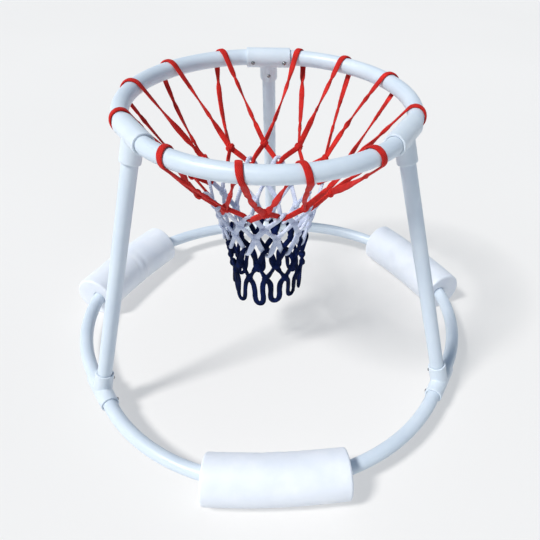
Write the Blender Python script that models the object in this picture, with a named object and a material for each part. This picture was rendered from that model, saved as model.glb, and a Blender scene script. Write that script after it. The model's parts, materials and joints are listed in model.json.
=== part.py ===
"""Floating basketball hoop: a round tube rim with a knotted net, three leaning uprights,
and a wide base ring that floats on three foam sleeves. Metres, +Z up.
The origin is on the floor under the middle of the whole. The front is at -Y."""

import itertools
import math

import bmesh
import bpy
from mathutils import Matrix, Vector

# Driving dimensions of the two rings
# Each ring is three bent tubes joined by three tees whose runs are straight.
# A rim tube leaves each tee with a short, tight lead bend, so that the rim stays round.
rim_bend_radius = 0.239
rim_lead_radius = 0.060
rim_lead_angle = 12
base_bend_radius = 0.364
ring_spacing = 0.495

# Tubes
rim_tube_diameter = 0.029
base_tube_diameter = 0.027
upright_diameter = 0.027
tube_wall = 0.0028
tube_sides = 12
rim_bend_steps = 10
base_bend_steps = 16

# Tee fittings
tee_run_length = 0.086
tee_branch_reach = 0.045
tee_wall = 0.0036
tee_mouth_chamfer = 0.0008
tee_sides = 16
mouth_straight = 0.002
run_stop = 0.012
run_button_place = 0.031
branch_button_place = 0.030
branch_stop_step = 0.0022

# Clearance between pieces that touch, and between a socket and its tube
fit_gap = 0.0003

# Snap buttons and their springs
button_diameter = 0.0074
button_flange_diameter = 0.0092
button_flange_thickness = 0.001
button_proud = 0.0032
button_dome = 0.0016
button_tip_share = 0.6
button_sides = 8
spring_width = 0.0066
spring_thickness = 0.0007
spring_length = 0.022
spring_pad = 0.0096
spring_fold = 0.0022

# Foam floats
float_diameter = 0.094
float_length = 0.252
float_bend_radius = 1.2
float_inset_share = 0.4
float_chamfer = 0.003
float_clearance = 0.001
float_sides = 16
float_steps = 6

# Net
net_length = 0.388
net_loops = 12
cord_width = 0.0072
cord_thickness = 0.0044
loop_slant = 0.004
loop_clearance = 0.0007
mirrored_loops = 4
wrap_steps = 8
knot_clearance = 0.0004
hook_half_width = 0.0074
hook_depth = 0.0070
hook_clearance = 0.0018
knot_step_share = 0.3
tail_half_width_share = 0.5

# Rows of the net from the rim down: the step from the row above as a share of the net's
# length, and the row's radius as a share of the rim's bend radius
row_shares = [
    ("red_knots", 0.34, 0.559),
    ("red_white", 0.065, 0.461),
    ("white_upper", 0.08, 0.401),
    ("white_lower", 0.08, 0.354),
    ("white_blue", 0.085, 0.324),
    ("blue_upper", 0.09, 0.309),
    ("blue_lower", 0.09, 0.300),
    ("tails", 0.17, 0.2945),
]

# Bottom loop of the blue cord: shares of its half width and of its drop
tail_shares = [(1.0, 0.3), (1.06, 0.72), (0.64, 0.95), (0.0, 1.0)]

# Bend of a hooked cord: shares of its half width, its depth and its side step
hook_shares = [(1.0, 0.0, 1.0), (0.74, 0.7, 1.0), (0.27, 1.0, 0.6)]

# Places round the rings, in degrees
tee_azimuths = {"back": 90, "left": 210, "right": 330}
bend_azimuths = {"front": 270, "left": 150, "right": 30}

# Derived sizes
ring_straight = tee_run_length + 2 * mouth_straight
upright_radius = upright_diameter / 2
float_radius = float_diameter / 2
base_height = float_radius * math.cos(math.pi / float_sides)
float_spread = float_length / 2 / float_bend_radius
tube_sag = base_bend_radius * (1 - math.cos(float_length / 2 / base_bend_radius))
float_sag = float_bend_radius * (1 - math.cos(float_spread))
float_axis_distance = base_bend_radius - float_inset_share * (tube_sag - float_sag)


class Ring:
    """One ring seen from above: the sizes that follow from its bends and its tees' runs."""

    def __init__(self, bend_radius, lead_radius, lead_angle, tube_diameter, height):
        whole = math.radians(60)
        self.lead = math.radians(lead_angle)
        self.main = whole - self.lead
        self.bend_radius = bend_radius
        self.lead_radius = lead_radius
        self.tube_radius = tube_diameter / 2
        self.height = height
        reach = bend_radius - lead_radius
        self.centre_offset = (ring_straight / 2 - reach * math.sin(self.lead)) / math.sin(whole)
        self.tee_distance = self.centre_offset * math.cos(whole) + reach * math.cos(self.lead) + lead_radius


rim = Ring(rim_bend_radius, rim_lead_radius, rim_lead_angle, rim_tube_diameter, base_height + ring_spacing)
base = Ring(base_bend_radius, base_bend_radius, 0, base_tube_diameter, base_height)
lean = math.atan2(base.tee_distance - rim.tee_distance, ring_spacing)
leg_length = math.hypot(base.tee_distance - rim.tee_distance, ring_spacing)
cord_side_step = (cord_thickness + hook_clearance) / 2
net_rows = {}
row_drop = 0
for row_name, step_share, radius_share in row_shares:
    row_drop += net_length * step_share
    net_rows[row_name] = (rim_bend_radius * radius_share, rim.height - row_drop)


def clear_scene():
    for item in list(bpy.data.objects):
        bpy.data.objects.remove(item, do_unlink=True)


def plain_material(name, colour, roughness, metallic=0.0):
    material = bpy.data.materials.new(name)
    material.use_nodes = True
    shader = material.node_tree.nodes["Principled BSDF"]
    shader.inputs["Base Color"].default_value = (*colour, 1.0)
    shader.inputs["Roughness"].default_value = roughness
    shader.inputs["Metallic"].default_value = metallic
    material.diffuse_color = (*colour, 1.0)
    return material


def finish_mesh(bm, name):
    bmesh.ops.recalc_face_normals(bm, faces=bm.faces)
    mesh = bpy.data.meshes.new(name)
    bm.to_mesh(mesh)
    bm.free()
    return mesh


def place(name, mesh, material, matrix):
    mesh.shade_smooth()
    mesh.set_sharp_from_angle(angle=math.radians(32))
    if not mesh.materials:
        mesh.materials.append(material)
    item = bpy.data.objects.new(name, mesh)
    bpy.context.scene.collection.objects.link(item)
    item.matrix_world = matrix
    return item


def turn_to(azimuth):
    return Matrix.Rotation(math.radians(azimuth), 4, "Z")


def circle(centre, across, up, radius, sides):
    """Points of a regular polygon that has one side square to -up."""
    points = []
    for index in range(sides):
        angle = 2 * math.pi * (index + 0.5) / sides - math.pi / 2
        points.append(centre + radius * (math.cos(angle) * across + math.sin(angle) * up))
    return points


def add_ring(bm, points):
    return [bm.verts.new(point) for point in points]


def bridge(bm, first, second):
    count = len(first)
    for index in range(count):
        following = (index + 1) % count
        bm.faces.new((first[index], first[following], second[following], second[index]))


def turned(name, profile, sides, matrix=None):
    """A closed solid of revolution about local Z from (radius, height) pairs."""
    bm = bmesh.new()
    rings = []
    for radius, height in profile:
        centre = Vector((0, 0, height))
        rings.append(add_ring(bm, circle(centre, Vector((1, 0, 0)), Vector((0, 1, 0)), radius, sides)))
    for first, second in zip(rings, rings[1:]):
        bridge(bm, first, second)
    bm.faces.new(rings[0])
    bm.faces.new(rings[-1])
    if matrix:
        bm.transform(matrix)
    return finish_mesh(bm, name)


def carved(name, solid, joined, cutters):
    """The solid with other solids joined to it and cutters taken from it."""
    helpers = []

    def helper(mesh):
        item = bpy.data.objects.new(name + "_helper", mesh)
        item.hide_render = True
        item.display_type = "WIRE"
        bpy.context.scene.collection.objects.link(item)
        helpers.append(item)
        return item

    main = helper(solid)
    for operation, meshes in (("UNION", joined), ("DIFFERENCE", cutters)):
        for mesh in meshes:
            boolean = main.modifiers.new(operation.lower(), "BOOLEAN")
            boolean.operation = operation
            boolean.solver = "EXACT"
            boolean.object = helper(mesh)
    evaluated = main.evaluated_get(bpy.context.evaluated_depsgraph_get())
    result = bpy.data.meshes.new_from_object(evaluated)
    result.name = name
    for item in helpers:
        bpy.data.objects.remove(item, do_unlink=True)
    return result


def button_hole(axis_point, outward, reach, name):
    """A cutter for one snap button, from a tube's axis out through its walls."""
    radius = button_diameter / 2 + fit_gap
    turn = outward.to_track_quat("Z", "Y").to_matrix().to_4x4()
    return turned(name, [(radius, 0), (radius, reach)], button_sides, Matrix.Translation(axis_point) @ turn)


def ray(angle):
    """A level direction, by its angle from +X in radians."""
    return Vector((math.cos(angle), math.sin(angle), 0))


def bent_end(ring, sign):
    """Where a tube's bends end, about its main bend's centre: point, outward and along."""
    whole = ring.main + ring.lead
    outward = ray(sign * whole)
    point = (ring.bend_radius - ring.lead_radius) * ray(sign * ring.main) + ring.lead_radius * outward
    return point, outward, Vector((-outward.y, outward.x, 0)) * sign


def bent_path(ring, steps, tail):
    """Stations along a bent tube about its main bend's centre: point and outward direction.
    The tube turns 120 degrees, centred on +X, and a straight tail leads into each tee."""
    mean = ring.bend_radius * (1 + 1 / math.cos(ring.main / steps)) / 2
    stations = []
    for index in range(steps + 1):
        outward = ray(ring.main * (2 * index / steps - 1))
        radius = ring.bend_radius if index in (0, steps) else mean
        stations.append((radius * outward, outward))
    for sign in (-1, 1):
        point, outward, along = bent_end(ring, sign)
        extra = [(point, outward)] if ring.lead else []
        extra.append((point + along * tail, outward))
        if sign < 0:
            stations = extra[::-1] + stations
        else:
            stations += extra
    return stations


def hollow_sweep(name, outer, inner, sides):
    """A bent tube from two lists of stations: point, outward direction and radius."""
    up = Vector((0, 0, 1))
    bm = bmesh.new()
    outer_rings = []
    inner_rings = []
    for stations, rings in ((outer, outer_rings), (inner, inner_rings)):
        for point, outward, radius in stations:
            rings.append(add_ring(bm, circle(point, outward, up, radius, sides)))
    for rings in (outer_rings, inner_rings):
        for first, second in zip(rings, rings[1:]):
            bridge(bm, first, second)
    bridge(bm, outer_rings[0], inner_rings[0])
    bridge(bm, outer_rings[-1], inner_rings[-1])
    return finish_mesh(bm, name)


def bent_tube(name, ring, steps):
    tail = ring_straight / 2 - run_stop - fit_gap
    stations = bent_path(ring, steps, tail)
    outer = [(point, outward, ring.tube_radius) for point, outward in stations]
    inner = [(point, outward, ring.tube_radius - tube_wall) for point, outward in stations]
    tube = hollow_sweep(name, outer, inner, tube_sides)
    cutters = []
    for sign in (-1, 1):
        point, outward, along = bent_end(ring, sign)
        axis_point = point + along * (ring_straight / 2 - run_button_place)
        inward = -outward * math.cos(lean) - Vector((0, 0, math.sin(lean)))
        cutters.append(button_hole(axis_point, inward, 2 * ring.tube_radius, name + "_hole"))
    return carved(name, tube, [], cutters)


def straight_tube(name):
    """One upright about its own middle, along Z, with its button holes facing -X."""
    inner = upright_radius - tube_wall
    half = leg_length / 2 - branch_stop(rim.tube_radius) - fit_gap
    other = leg_length / 2 - branch_stop(base.tube_radius) - fit_gap
    bm = bmesh.new()
    rings = []
    for radius, height in (
        (upright_radius, half),
        (inner, half),
        (inner, -other),
        (upright_radius, -other),
    ):
        centre = Vector((0, 0, height))
        rings.append(add_ring(bm, circle(centre, Vector((1, 0, 0)), Vector((0, 1, 0)), radius, tube_sides)))
    for index in range(len(rings)):
        bridge(bm, rings[index - 1], rings[index])
    tube = finish_mesh(bm, name)
    cutters = []
    for sign in (-1, 1):
        axis_point = Vector((0, 0, sign * (leg_length / 2 - branch_button_place)))
        cutters.append(button_hole(axis_point, Vector((-1, 0, 0)), upright_diameter, name + "_hole"))
    return carved(name, tube, [], cutters)


def branch_stop(run_tube_radius):
    """How far from the run's axis an upright's end seats."""
    return run_tube_radius + branch_stop_step


def tee(name, run_tube_radius, branch_sign):
    """A tee about its run's middle: the run lies along Y and the branch along Z."""
    run_outer = run_tube_radius + fit_gap + tee_wall
    branch_outer = upright_radius + fit_gap + tee_wall
    run_bore = run_tube_radius + fit_gap
    branch_bore = upright_radius + fit_gap
    half = tee_run_length / 2
    lay = Matrix.Rotation(math.radians(-90), 4, "X")
    level = Matrix.Rotation(lean, 4, "Y")
    flip = Matrix.Rotation(math.pi if branch_sign < 0 else 0, 4, "X")
    run = turned(
        name,
        [
            (run_outer - tee_mouth_chamfer, -half),
            (run_outer, -half + tee_mouth_chamfer),
            (run_outer, half - tee_mouth_chamfer),
            (run_outer - tee_mouth_chamfer, half),
        ],
        tee_sides,
        lay,
    )
    branch = turned(
        name + "_branch",
        [
            (branch_outer, 0),
            (branch_outer, tee_branch_reach - tee_mouth_chamfer),
            (branch_outer - tee_mouth_chamfer, tee_branch_reach),
        ],
        tee_sides,
        flip,
    )
    run_core = turned(
        name + "_run_core",
        [
            (run_bore, -tee_run_length),
            (run_bore, -run_stop),
            (run_bore - tube_wall, -run_stop),
            (run_bore - tube_wall, run_stop),
            (run_bore, run_stop),
            (run_bore, tee_run_length),
        ],
        tube_sides,
        level @ lay,
    )
    seat = branch_stop(run_tube_radius)
    branch_core = turned(
        name + "_branch_core",
        [
            (branch_bore - tube_wall, 0),
            (branch_bore - tube_wall, seat),
            (branch_bore, seat),
            (branch_bore, 2 * tee_branch_reach),
        ],
        tube_sides,
        flip,
    )
    cutters = [run_core, branch_core]
    inward = Vector((-1, 0, 0))
    for place_y in (-run_button_place, run_button_place):
        cutters.append(button_hole(Vector((0, place_y, 0)), inward, 2 * run_outer, name + "_hole"))
    branch_point = Vector((0, 0, branch_sign * branch_button_place))
    cutters.append(button_hole(branch_point, inward, 2 * run_outer, name + "_hole"))
    return carved(name, run, [branch], cutters)


def foam_float(name):
    """A foam sleeve about its tube's bend centre, centred on +X. Its bore follows the tube.
    The foam is stiff, so the outside bends less, between flat end faces."""
    centre = float_axis_distance - float_bend_radius
    tilt = math.asin(-centre * math.sin(float_spread) / base_bend_radius)
    turn = float_spread + tilt
    mean = base_bend_radius * (1 + 1 / math.cos(turn / float_steps)) / 2
    edge = float_spread - float_chamfer / float_bend_radius
    bore = base.tube_radius + float_clearance

    def outside(angle, radius):
        return Vector((centre, 0, 0)) + float_bend_radius * ray(angle), ray(angle), radius

    outer = [outside(-float_spread, float_radius - float_chamfer), outside(-edge, float_radius)]
    inner = [(base_bend_radius * ray(-turn), ray(-float_spread) / math.cos(tilt), bore)]
    for index in range(1, float_steps):
        share = 2 * index / float_steps - 1
        outer.append(outside(share * float_spread, float_radius))
        inner.append((mean * ray(share * turn), ray(share * turn), bore))
    outer += [outside(edge, float_radius), outside(float_spread, float_radius - float_chamfer)]
    inner.append((base_bend_radius * ray(turn), ray(float_spread) / math.cos(tilt), bore))
    return hollow_sweep(name, outer, inner, float_sides)


def bore_flat(tube_radius, half_width):
    """Height above a tube's axis at which something this wide meets its bore."""
    inside = (tube_radius - tube_wall) * math.cos(math.pi / tube_sides)
    return math.sqrt(inside ** 2 - half_width ** 2) - fit_gap


def snap_button(name, tube_radius):
    """A snap button along Z, measured from its tube's axis."""
    flange_radius = button_flange_diameter / 2
    radius = button_diameter / 2
    shoulder = bore_flat(tube_radius, flange_radius)
    tip = tube_radius + fit_gap + tee_wall + button_proud
    profile = [
        (flange_radius, shoulder - button_flange_thickness),
        (flange_radius, shoulder),
        (radius, shoulder),
        (radius, tip - button_dome),
        (radius * button_tip_share, tip),
    ]
    return turned(name, profile, button_sides)


def snap_spring(name, tube_radius):
    """A folded leaf under a snap button: X runs deeper into the tube, Z to the button."""
    flange = bore_flat(tube_radius, button_flange_diameter / 2) - button_flange_thickness
    upper = flange - fit_gap - spring_thickness / 2
    lower = -bore_flat(tube_radius, spring_width / 2) + spring_thickness / 2
    half_pad = spring_pad / 2
    line = [
        Vector((-half_pad, upper)),
        Vector((half_pad, upper)),
        Vector((spring_length, spring_fold)),
        Vector((spring_length, -spring_fold)),
        Vector((half_pad, lower)),
    ]
    sides = []
    for index, point in enumerate(line):
        before = line[max(index - 1, 0)]
        after = line[min(index + 1, len(line) - 1)]
        first = (point - before).normalized() if index else (after - point).normalized()
        second = (after - point).normalized() if index < len(line) - 1 else first
        mitre = (first + second).normalized()
        reach = spring_thickness / 2 / max(mitre.dot(first), spring_thickness / spring_width)
        sides.append(Vector((-mitre.y, mitre.x)) * reach)
    outline = [point + side for point, side in zip(line, sides)]
    outline += [point - side for point, side in zip(reversed(line), reversed(sides))]
    bm = bmesh.new()
    half_width = spring_width / 2
    rings = []
    for place_y in (-half_width, half_width):
        rings.append(add_ring(bm, [Vector((point.x, place_y, point.y)) for point in outline]))
    bridge(bm, rings[0], rings[1])
    bm.faces.new(rings[0])
    bm.faces.new(rings[1])
    return finish_mesh(bm, name)


def ring_side(ring):
    """The arcs of one tube, as turn and radius, and the length from tee to tee."""
    lead = (ring.lead, ring.lead_radius)
    arcs = (lead, (2 * ring.main, ring.bend_radius), lead)
    return arcs, ring_straight + sum(turn * radius for turn, radius in arcs)


def ring_place(ring, along):
    """Point, tangent and outward direction on a ring, by distance from a tee's middle.
    The distance runs counter-clockwise from the back tee."""
    arcs, side_length = ring_side(ring)
    side = math.floor(along / side_length)
    heading = math.radians(tee_azimuths["back"] + 120 * side)
    rest = along - side * side_length
    straight = min(rest, ring_straight / 2)
    point = ring.tee_distance * ray(heading) + straight * ray(heading + math.pi / 2)
    rest -= straight
    for turn, radius in arcs:
        turned_by = min(max(rest / radius, 0), turn)
        point += radius * (ray(heading + turned_by) - ray(heading))
        heading += turned_by
        rest -= turned_by * radius
    tangent = ray(heading + math.pi / 2)
    return point + tangent * rest + Vector((0, 0, ring.height)), tangent, ray(heading)


def net_point(row, half_turns):
    """A place on a row of the net. Half turns count half the spacing of the loops."""
    angle = math.pi * half_turns / net_loops + math.radians(tee_azimuths["back"])
    radius, height = net_rows[row]
    return radius * ray(angle) + Vector((0, 0, height))


class Cords:
    """One closed mesh of flat cords: each cord is a strip of rings from knot to knot."""

    def __init__(self):
        self.bm = bmesh.new()
        self.knots = {}

    def strip(self, points, normals, first_knot, last_knot):
        """A flat cord along these points, from the middle of one knot to that of another."""
        rings = []
        for index, (point, normal) in enumerate(zip(points, normals)):
            before = points[max(index - 1, 0)]
            after = points[min(index + 1, len(points) - 1)]
            first = (point - before).normalized() if index else (after - point).normalized()
            second = (after - point).normalized() if index < len(points) - 1 else first
            tangent = (first + second).normalized()
            across = tangent.cross(normal).normalized() * cord_width / 2
            through = across.cross(tangent).normalized() * cord_thickness / 2
            corners = (across + through, through - across, -across - through, across - through)
            rings.append(add_ring(self.bm, [point + corner for corner in corners]))
        for first, second in zip(rings, rings[1:]):
            bridge(self.bm, first, second)
        for knot, ring, start, following in (
            (first_knot, rings[0], points[0], points[1]),
            (last_knot, rings[-1], points[-1], points[-2]),
        ):
            self.knots.setdefault(knot, []).append((ring, start, (following - start).normalized()))

    def spread_ends(self, ends):
        """Slide a knot's cord ends out from its middle until each end face clears the rest."""
        corner = math.hypot(cord_width, cord_thickness) / 2
        reach = 0
        for (_, start, along), (_, other_start, other_along) in itertools.permutations(ends, 2):
            turn = along.angle(other_along)
            ahead = (other_start - start).dot(along)
            reach = max(reach, (corner * math.sin(turn) + ahead) / (1 - math.cos(turn)))
        for ring, _, along in ends:
            for vert in ring:
                vert.co += along * (reach + knot_clearance)

    def tie_knots(self):
        """Each knot is the hull of its cord ends, open where the cords join it."""
        for cord_ends in self.knots.values():
            self.spread_ends(cord_ends)
            rings = [ring for ring, _, _ in cord_ends]
            ends = [vert for ring in rings for vert in ring]
            owner = {index: index // len(rings[0]) for index in range(len(ends))}
            hull = bmesh.new()
            copies = add_ring(hull, [vert.co for vert in ends])
            bmesh.ops.convex_hull(hull, input=copies)
            places = {vert: index for index, vert in enumerate(copies)}
            for face in hull.faces:
                numbers = [places[vert] for vert in face.verts]
                if len({owner[number] for number in numbers}) > 1:
                    self.bm.faces.new([ends[number] for number in numbers])
            hull.free()

    def mesh(self, name):
        self.tie_knots()
        loose = [edge for edge in self.bm.edges if len(edge.link_faces) != 2]
        if loose:
            raise ValueError(f"{name}: {len(loose)} open edges at its knots")
        return finish_mesh(self.bm, name)


def hooked(cords, row, middle, knot_row, opening, side):
    """A cord that hangs from two knots and turns through the cord of the next colour.
    opening is 1 where its knots are above the bend and -1 where they are below."""
    centre = net_point(row, middle)
    knots = [net_point(knot_row, middle - 1), net_point(knot_row, middle + 1)]
    across = (knots[1] - knots[0]).normalized()
    upward = ((knots[0] + knots[1]) / 2 - centre).normalized() * opening
    normal = across.cross(upward).normalized()
    path = []
    for sign in (-1, 1):
        half = []
        for wide, deep, step in hook_shares:
            point = centre + across * (sign * wide * hook_half_width)
            point -= upward * (opening * deep * hook_depth)
            point += normal * (sign * side * step * cord_side_step)
            half.append(point)
        path.append(half)
    points = path[0] + path[1][::-1]
    shift = normal * (side * cord_side_step * knot_step_share)
    points = [knots[0] - shift] + points + [knots[1] + shift]
    count = 2 * net_loops
    names = [(knot_row, (middle - 1) % count), (knot_row, (middle + 1) % count)]
    cords.strip(points, [normal] * len(points), *names)


def straight_cord(cords, upper_row, upper, lower_row, lower):
    top = net_point(upper_row, upper)
    bottom = net_point(lower_row, lower)
    normal = Vector((top.x + bottom.x, top.y + bottom.y, 0)).normalized()
    count = 2 * net_loops
    cords.strip([top, bottom], [normal] * 2, (upper_row, upper % count), (lower_row, lower % count))


def rim_loop(cords, number):
    """A red loop over the rim: one end comes over the top and the other leaves below.
    The last loops, beside the back tee on the right, cross the tube the other way."""
    mirrored = number >= net_loops - mirrored_loops
    spacing = len(tee_azimuths) * ring_side(rim)[1] / net_loops
    middle, tangent, outward = ring_place(rim, spacing * (number + 0.5))
    up = Vector((0, 0, 1))
    numbers = [2 * number, 2 * number + 2]
    side = 1
    if mirrored:
        numbers.reverse()
        side = -1
    knots = [net_point("red_knots", place) for place in numbers]
    clear = rim.tube_radius + loop_clearance + cord_thickness / 2
    angles = []
    for knot, sign in zip(knots, (-1, 1)):
        flat = Vector(((knot - middle).dot(outward), (knot - middle).dot(up)))
        towards = math.atan2(flat.y, flat.x)
        angles.append(towards + sign * math.acos(clear / flat.length))
    start = angles[0] + 2 * math.pi
    step = (angles[1] - start) / wrap_steps
    radius = clear / math.cos(step / 2)
    points = []
    normals = []
    for index in range(wrap_steps + 1):
        angle = start + step * index
        normal = outward * math.cos(angle) + up * math.sin(angle)
        slant = tangent * (side * loop_slant * (index / wrap_steps - 0.5))
        points.append(middle + normal * radius + slant)
        normals.append(normal)
    points.insert(0, knots[0] + normals[0] * cord_side_step)
    points.append(knots[1] + normals[-1] * cord_side_step)
    normals = [normals[0], *normals, normals[-1]]
    count = 2 * net_loops
    names = [("red_knots", place % count) for place in numbers]
    cords.strip(points, normals, *names)


def net_red():
    cords = Cords()
    for number in range(net_loops):
        rim_loop(cords, number)
        hooked(cords, "red_white", 2 * number + 1, "red_knots", 1, 1)
    return cords.mesh("net_red")


def net_white():
    cords = Cords()
    for number in range(net_loops):
        even = 2 * number
        hooked(cords, "red_white", even + 1, "white_upper", -1, -1)
        straight_cord(cords, "white_upper", even, "white_lower", even + 1)
        straight_cord(cords, "white_upper", even + 2, "white_lower", even + 1)
        hooked(cords, "white_blue", even, "white_lower", 1, 1)
    return cords.mesh("net_white")


def bottom_loop(cords, middle):
    """A blue loop hanging from two knots of the lowest row."""
    centre = net_point("tails", middle)
    knots = [net_point("blue_lower", middle - 1), net_point("blue_lower", middle + 1)]
    across = (knots[1] - knots[0]) / 2
    top = (knots[0] + knots[1]) / 2
    normal = Vector((top.x, top.y, 0)).normalized()
    path = []
    for sign in (-1, 1):
        half = []
        for wide, deep in tail_shares:
            point = top.lerp(centre, deep) + across * (sign * wide * tail_half_width_share)
            half.append(point)
        path.append(half)
    points = [knots[0]] + path[0] + path[1][-2::-1] + [knots[1]]
    count = 2 * net_loops
    names = [("blue_lower", (middle - 1) % count), ("blue_lower", (middle + 1) % count)]
    cords.strip(points, [normal] * len(points), *names)


def net_blue():
    cords = Cords()
    for number in range(net_loops):
        even = 2 * number
        hooked(cords, "white_blue", even, "blue_upper", -1, -1)
        straight_cord(cords, "blue_upper", even + 1, "blue_lower", even)
        straight_cord(cords, "blue_upper", even + 1, "blue_lower", even + 2)
        bottom_loop(cords, even + 1)
    return cords.mesh("net_blue")


def build_rings(pvc, foam):
    for label, ring, steps in (("rim", rim, rim_bend_steps), ("base", base, base_bend_steps)):
        mesh = bent_tube(label + "_tube", ring, steps)
        for side, azimuth in bend_azimuths.items():
            at = turn_to(azimuth) @ Matrix.Translation((ring.centre_offset, 0, ring.height))
            place(f"{label}_tube_{side}", mesh, pvc, at)
    mesh = foam_float("foam_float")
    for side, azimuth in bend_azimuths.items():
        at = turn_to(azimuth) @ Matrix.Translation((base.centre_offset, 0, base.height))
        place(f"float_{side}", mesh, foam, at)


def leg_matrix(azimuth, distance, height):
    """A frame on an upright's axis: Y along the ring, Z up the leaning upright."""
    lean_turn = Matrix.Rotation(-lean, 4, "Y")
    return turn_to(azimuth) @ Matrix.Translation((distance, 0, height)) @ lean_turn


def build_legs(pvc):
    rim_mesh = tee("rim_tee", rim.tube_radius, -1)
    base_mesh = tee("base_tee", base.tube_radius, 1)
    upright_mesh = straight_tube("upright")
    middle_distance = (rim.tee_distance + base.tee_distance) / 2
    middle_height = (rim.height + base.height) / 2
    for side, azimuth in tee_azimuths.items():
        place(f"rim_tee_{side}", rim_mesh, pvc, leg_matrix(azimuth, rim.tee_distance, rim.height))
        place(f"base_tee_{side}", base_mesh, pvc, leg_matrix(azimuth, base.tee_distance, base.height))
        place(f"upright_{side}", upright_mesh, pvc, leg_matrix(azimuth, middle_distance, middle_height))


def build_buttons(steel, spring_steel):
    """Three snap buttons on each tee, one for each tube that it holds."""
    face_in = Matrix.Rotation(math.radians(-90), 4, "Y")
    turns = {
        "cw": Matrix.Rotation(math.radians(-90), 4, "Z"),
        "ccw": Matrix.Rotation(math.radians(90), 4, "Z"),
        "post": None,
    }
    for label, ring, branch_sign in (("rim", rim, -1), ("base", base, 1)):
        places = {
            "cw": (Vector((0, -run_button_place, 0)), ring.tube_radius, Vector((0, -1, 0))),
            "ccw": (Vector((0, run_button_place, 0)), ring.tube_radius, Vector((0, 1, 0))),
            "post": (
                Vector((0, 0, branch_sign * branch_button_place)),
                upright_radius,
                Vector((0, 0, branch_sign)),
            ),
        }
        for spot, (point, tube_radius, deeper) in places.items():
            button_mesh = snap_button(f"button_{label}_{spot}", tube_radius)
            spring_mesh = snap_spring(f"spring_{label}_{spot}", tube_radius)
            outward = Vector((-1, 0, 0))
            sideways = outward.cross(deeper)
            spring_turn = Matrix((deeper, sideways, outward)).transposed().to_4x4()
            for side, azimuth in tee_azimuths.items():
                leg = leg_matrix(azimuth, ring.tee_distance, ring.height) @ Matrix.Translation(point)
                place(f"button_{label}_{side}_{spot}", button_mesh, steel, leg @ face_in)
                place(f"spring_{label}_{side}_{spot}", spring_mesh, spring_steel, leg @ spring_turn)


def build_net(red, white, blue):
    at = Matrix.Identity(4)
    place("net_red", net_red(), red, at)
    place("net_white", net_white(), white, at)
    place("net_blue", net_blue(), blue, at)


def centre_part():
    """Move everything alike, so that the origin is under the middle between front and back."""
    items = list(bpy.context.scene.collection.objects)
    reaches = [(item.matrix_world @ vert.co).y for item in items for vert in item.data.vertices]
    shift = Matrix.Translation((0, -(min(reaches) + max(reaches)) / 2, 0))
    for item in items:
        item.matrix_world = shift @ item.matrix_world


def main():
    clear_scene()
    pvc = plain_material("white_pvc", (0.82, 0.86, 0.90), 0.32)
    foam = plain_material("white_foam", (0.88, 0.89, 0.90), 0.85)
    steel = plain_material("button_steel", (0.62, 0.63, 0.64), 0.3, 1.0)
    spring_steel = plain_material("spring_steel", (0.5, 0.5, 0.52), 0.4, 1.0)
    red = plain_material("red_cord", (0.62, 0.03, 0.02), 0.8)
    white = plain_material("white_cord", (0.86, 0.87, 0.9), 0.85)
    blue = plain_material("blue_cord", (0.01, 0.02, 0.12), 0.85)
    build_rings(pvc, foam)
    build_legs(pvc)
    build_buttons(steel, spring_steel)
    build_net(red, white, blue)
    centre_part()


main()
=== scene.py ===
import json
import random
from math import acos, asin, atan2, copysign, cos, exp, floor, hypot, pi, radians, sin, sqrt

import bmesh
import bpy
from mathutils import Matrix, Vector, noise


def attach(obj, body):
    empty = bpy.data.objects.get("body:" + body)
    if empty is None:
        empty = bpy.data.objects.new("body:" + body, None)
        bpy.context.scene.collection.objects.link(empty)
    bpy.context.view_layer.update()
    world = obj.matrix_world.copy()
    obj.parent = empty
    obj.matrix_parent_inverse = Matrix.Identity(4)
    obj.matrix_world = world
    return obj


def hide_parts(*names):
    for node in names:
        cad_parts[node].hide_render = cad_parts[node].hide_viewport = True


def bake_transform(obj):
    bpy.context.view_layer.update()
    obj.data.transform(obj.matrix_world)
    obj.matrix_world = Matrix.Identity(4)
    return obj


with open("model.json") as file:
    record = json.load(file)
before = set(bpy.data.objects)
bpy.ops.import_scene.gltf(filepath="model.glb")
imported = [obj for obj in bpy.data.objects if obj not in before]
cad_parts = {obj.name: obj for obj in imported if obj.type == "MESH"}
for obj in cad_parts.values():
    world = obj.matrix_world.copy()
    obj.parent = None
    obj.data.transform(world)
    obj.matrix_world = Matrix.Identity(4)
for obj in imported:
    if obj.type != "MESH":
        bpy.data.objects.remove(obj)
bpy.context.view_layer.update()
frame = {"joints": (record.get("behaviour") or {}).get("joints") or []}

# Sizes repeated from the part's source, in metres
RIM_BEND, RIM_LEAD, LEAD_ANGLE = 0.239, 0.060, radians(12)
BASE_BEND = 0.364
SPACING = 0.495
RIM_R, BASE_R, POST_R = 0.0145, 0.0135, 0.0135
WALL, TEE_WALL, GAP = 0.0028, 0.0036, 0.0003
TEE_RUN, TEE_REACH, MOUTH = 0.086, 0.045, 0.002
RUN_STOP, STOP_STEP = 0.012, 0.0022
RUN_BUTTON, POST_BUTTON = 0.031, 0.030
BUTTON_R, BUTTON_PROUD = 0.0037, 0.0032
FLANGE_R, FLANGE_T = 0.0046, 0.001
LEAF_WIDTH, LEAF_T = 0.0066, 0.0007
LEAF_REACH, LEAF_PAD, LEAF_FOLD = 0.022, 0.0096, 0.0022
FLOAT_R, FLOAT_LENGTH, FLOAT_CLEAR = 0.047, 0.252, 0.001
FLOAT_BEND, FLOAT_INSET_SHARE = 1.2, 0.4
SOLID_TUBE_SIDES, SOLID_FLOAT_SIDES = 12, 16
NET_LENGTH, LOOPS = 0.388, 12
TEES = {"back": 90, "left": 210, "right": 330}
BENDS = {"front": 270, "left": 150, "right": 30}
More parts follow.
